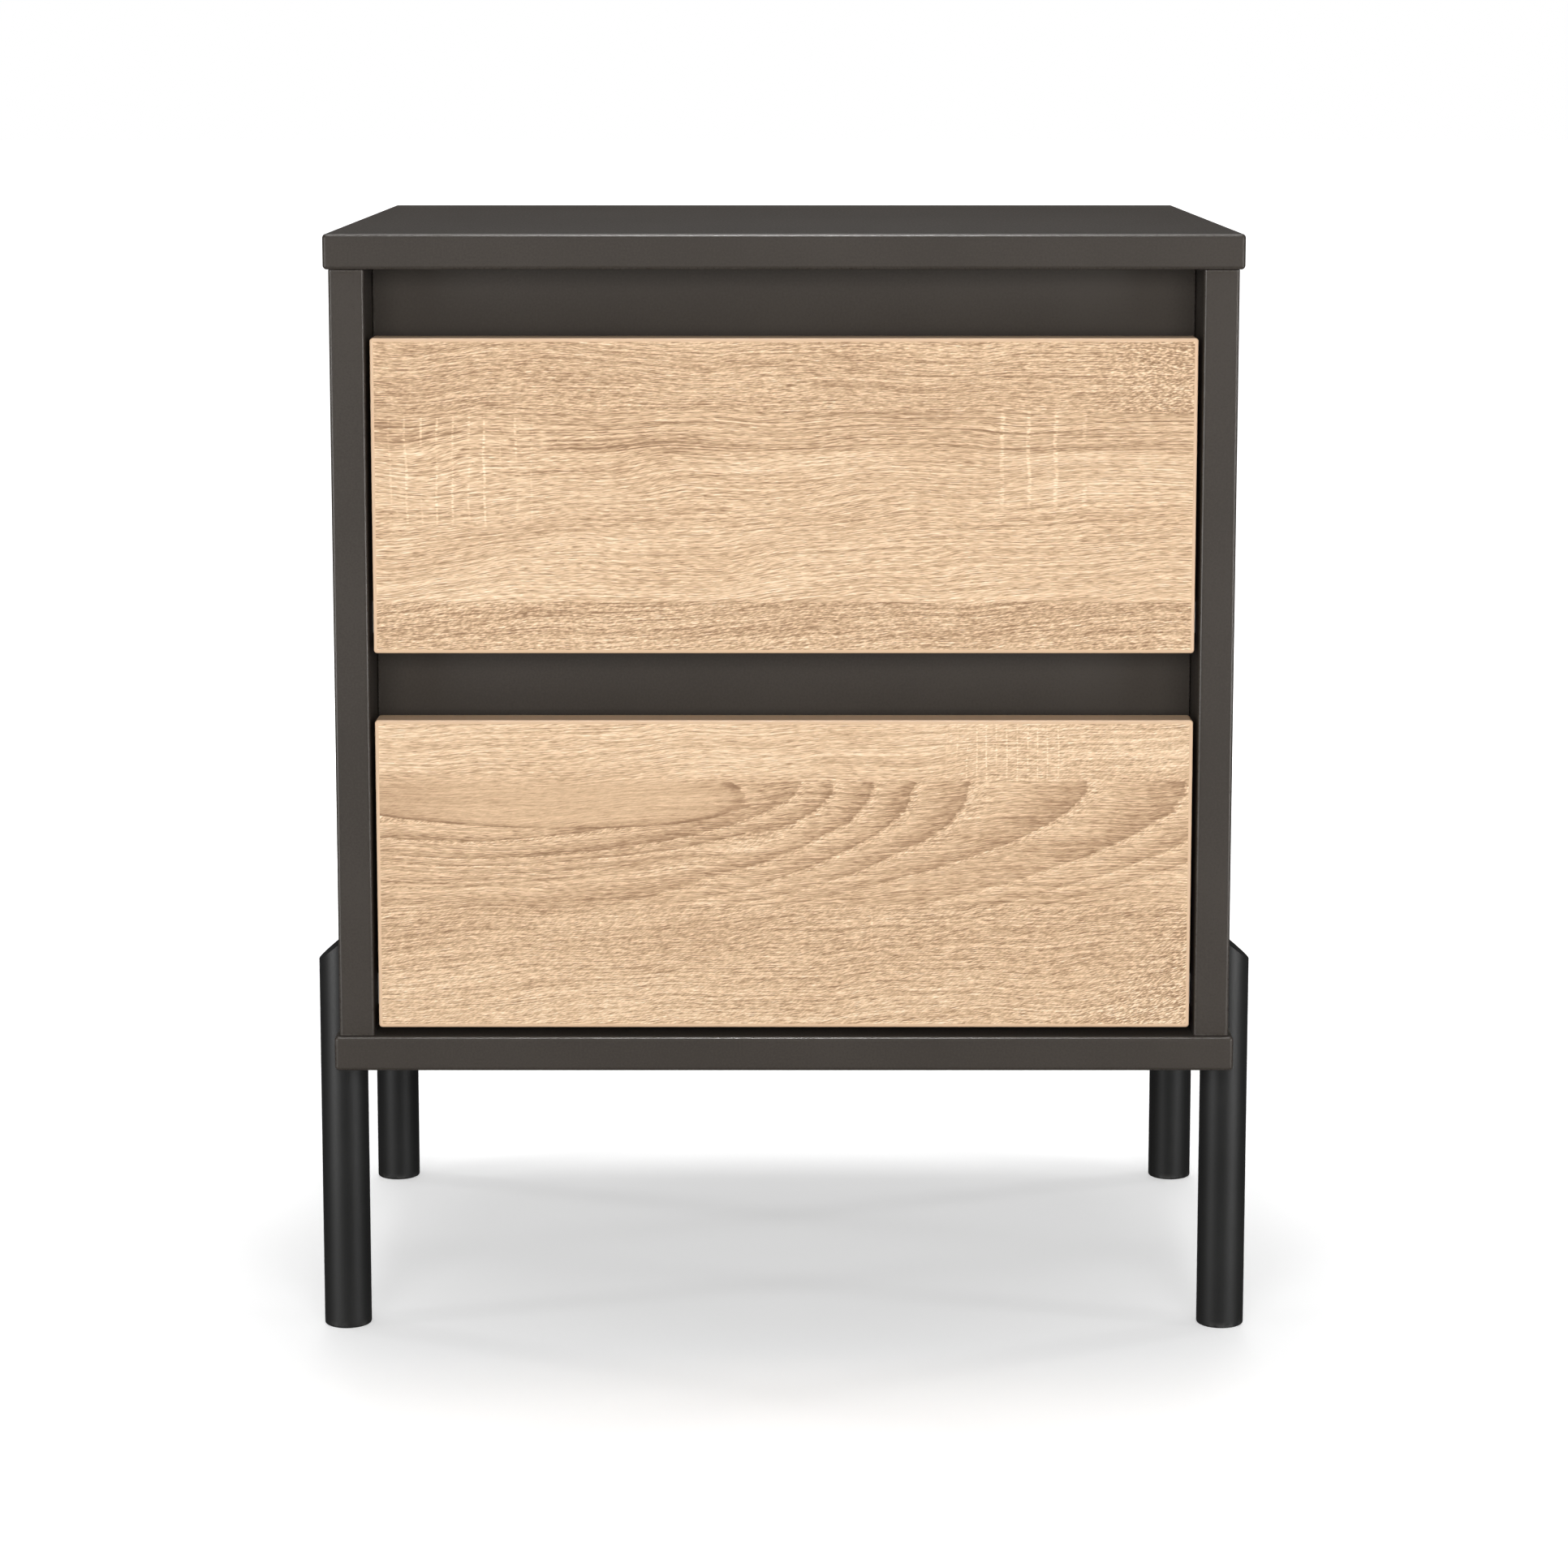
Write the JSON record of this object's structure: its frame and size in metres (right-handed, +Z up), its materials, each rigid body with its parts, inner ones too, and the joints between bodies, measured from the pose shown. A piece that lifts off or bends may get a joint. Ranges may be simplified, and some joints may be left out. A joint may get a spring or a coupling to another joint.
{
  "type": "nightstand with drawers",
  "caption": "Small cabinet with oak effect drawer fronts in a graphite carcass on round black legs; finger gaps above each front open the drawers.",
  "frame": {"origin": "on the floor under the middle of the nightstand", "axes": "+Z up; the drawer fronts face -Y; +X to the right as seen from the front"},
  "size_m": [0.491, 0.4, 0.582],
  "materials": {
    "graphite_board": "warm graphite melamine faced board, fine mottle, satin, rounded edging in the same colour",
    "oak_front": "light honey oak effect with fine horizontal grain, plain beige edging all round, satin",
    "black_leg": "round wood painted black, satin, faint long grain",
    "drawer_board": "light grey faced drawer board, matt, very fine texture",
    "hardboard": "thin pale grey hardboard, smooth matt front",
    "coated_steel": "off-white epoxy coated sheet steel, satin",
    "nylon": "white nylon, satin",
    "zinc_steel": "bright zinc plated",
    "beech_dowel": "plain beech, fine long grain"
  },
  "bodies": {
    "carcass": {"top_panel": "graphite_board", "bottom_panel": "graphite_board", "left_side_panel": "graphite_board", "right_side_panel": "graphite_board", "back_panel": "hardboard", "top_finger_rail": "graphite_board", "middle_finger_rail": "graphite_board", "front_left_leg": "black_leg", "front_right_leg": "black_leg", "rear_left_leg": "black_leg", "rear_right_leg": "black_leg", "front_left_leg_screw_1": "zinc_steel", "front_left_leg_screw_2": "zinc_steel", "front_left_joint_screw": "zinc_steel", "front_left_top_dowel": "beech_dowel", "front_right_leg_screw_1": "zinc_steel", "front_right_leg_screw_2": "zinc_steel", "front_right_joint_screw": "zinc_steel", "front_right_top_dowel": "beech_dowel", "rear_left_leg_screw_1": "zinc_steel", "rear_left_leg_screw_2": "zinc_steel", "rear_left_joint_screw": "zinc_steel", "rear_left_top_dowel": "beech_dowel", "rear_right_leg_screw_1": "zinc_steel", "rear_right_leg_screw_2": "zinc_steel", "rear_right_joint_screw": "zinc_steel", "rear_right_top_dowel": "beech_dowel", "upper_left_cabinet_runner": "coated_steel", "upper_right_cabinet_runner": "coated_steel", "lower_left_cabinet_runner": "coated_steel", "lower_right_cabinet_runner": "coated_steel"},
    "upper_drawer": {"upper_drawer_front": "oak_front", "upper_drawer_left_side": "drawer_board", "upper_drawer_right_side": "drawer_board", "upper_drawer_box_front": "drawer_board", "upper_drawer_box_back": "drawer_board", "upper_drawer_base": "hardboard", "upper_left_drawer_runner": "coated_steel", "upper_right_drawer_runner": "coated_steel", "upper_front_left_screw": "zinc_steel", "upper_front_right_screw": "zinc_steel"},
    "upper_left_cabinet_roller_wheel": {"upper_left_cabinet_roller": "nylon"},
    "upper_left_drawer_roller_wheel": {"upper_left_drawer_roller": "nylon"},
    "upper_right_cabinet_roller_wheel": {"upper_right_cabinet_roller": "nylon"},
    "upper_right_drawer_roller_wheel": {"upper_right_drawer_roller": "nylon"},
    "lower_drawer": {"lower_drawer_front": "oak_front", "lower_drawer_left_side": "drawer_board", "lower_drawer_right_side": "drawer_board", "lower_drawer_box_front": "drawer_board", "lower_drawer_box_back": "drawer_board", "lower_drawer_base": "hardboard", "lower_left_drawer_runner": "coated_steel", "lower_right_drawer_runner": "coated_steel", "lower_front_left_screw": "zinc_steel", "lower_front_right_screw": "zinc_steel"},
    "lower_left_cabinet_roller_wheel": {"lower_left_cabinet_roller": "nylon"},
    "lower_left_drawer_roller_wheel": {"lower_left_drawer_roller": "nylon"},
    "lower_right_cabinet_roller_wheel": {"lower_right_cabinet_roller": "nylon"},
    "lower_right_drawer_roller_wheel": {"lower_right_drawer_roller": "nylon"}
  },
  "joints": [
    {"name": "upper_drawer_slide", "type": "slide", "parent": "carcass", "child": "upper_drawer", "axis": [0, -1, 0], "range_m": [0, 0.26]},
    {"name": "upper_left_cabinet_roller_spin", "type": "hinge", "parent": "carcass", "child": "upper_left_cabinet_roller_wheel", "pos_m": [-0.2056, -0.163, 0.3869], "axis": [1, 0, 0], "continuous": true},
    {"name": "upper_left_drawer_roller_spin", "type": "hinge", "parent": "upper_drawer", "child": "upper_left_drawer_roller_wheel", "pos_m": [-0.2052, 0.163, 0.3845], "axis": [1, 0, 0], "continuous": true},
    {"name": "upper_right_cabinet_roller_spin", "type": "hinge", "parent": "carcass", "child": "upper_right_cabinet_roller_wheel", "pos_m": [0.2056, -0.163, 0.3869], "axis": [1, 0, 0], "continuous": true},
    {"name": "upper_right_drawer_roller_spin", "type": "hinge", "parent": "upper_drawer", "child": "upper_right_drawer_roller_wheel", "pos_m": [0.2052, 0.163, 0.3845], "axis": [1, 0, 0], "continuous": true},
    {"name": "lower_drawer_slide", "type": "slide", "parent": "carcass", "child": "lower_drawer", "axis": [0, -1, 0], "range_m": [0, 0.26]},
    {"name": "lower_left_cabinet_roller_spin", "type": "hinge", "parent": "carcass", "child": "lower_left_cabinet_roller_wheel", "pos_m": [-0.2056, -0.163, 0.1914], "axis": [1, 0, 0], "continuous": true},
    {"name": "lower_left_drawer_roller_spin", "type": "hinge", "parent": "lower_drawer", "child": "lower_left_drawer_roller_wheel", "pos_m": [-0.2052, 0.163, 0.189], "axis": [1, 0, 0], "continuous": true},
    {"name": "lower_right_cabinet_roller_spin", "type": "hinge", "parent": "carcass", "child": "lower_right_cabinet_roller_wheel", "pos_m": [0.2056, -0.163, 0.1914], "axis": [1, 0, 0], "continuous": true},
    {"name": "lower_right_drawer_roller_spin", "type": "hinge", "parent": "lower_drawer", "child": "lower_right_drawer_roller_wheel", "pos_m": [0.2052, 0.163, 0.189], "axis": [1, 0, 0], "continuous": true}
  ],
  "couplings": [
    {"joint": "upper_left_cabinet_roller_spin", "follows": "upper_drawer_slide", "rad_per_m": 125},
    {"joint": "upper_left_drawer_roller_spin", "follows": "upper_drawer_slide", "rad_per_m": 125},
    {"joint": "upper_right_cabinet_roller_spin", "follows": "upper_drawer_slide", "rad_per_m": 125},
    {"joint": "upper_right_drawer_roller_spin", "follows": "upper_drawer_slide", "rad_per_m": 125},
    {"joint": "lower_left_cabinet_roller_spin", "follows": "lower_drawer_slide", "rad_per_m": 125},
    {"joint": "lower_left_drawer_roller_spin", "follows": "lower_drawer_slide", "rad_per_m": 125},
    {"joint": "lower_right_cabinet_roller_spin", "follows": "lower_drawer_slide", "rad_per_m": 125},
    {"joint": "lower_right_drawer_roller_spin", "follows": "lower_drawer_slide", "rad_per_m": 125}
  ]
}
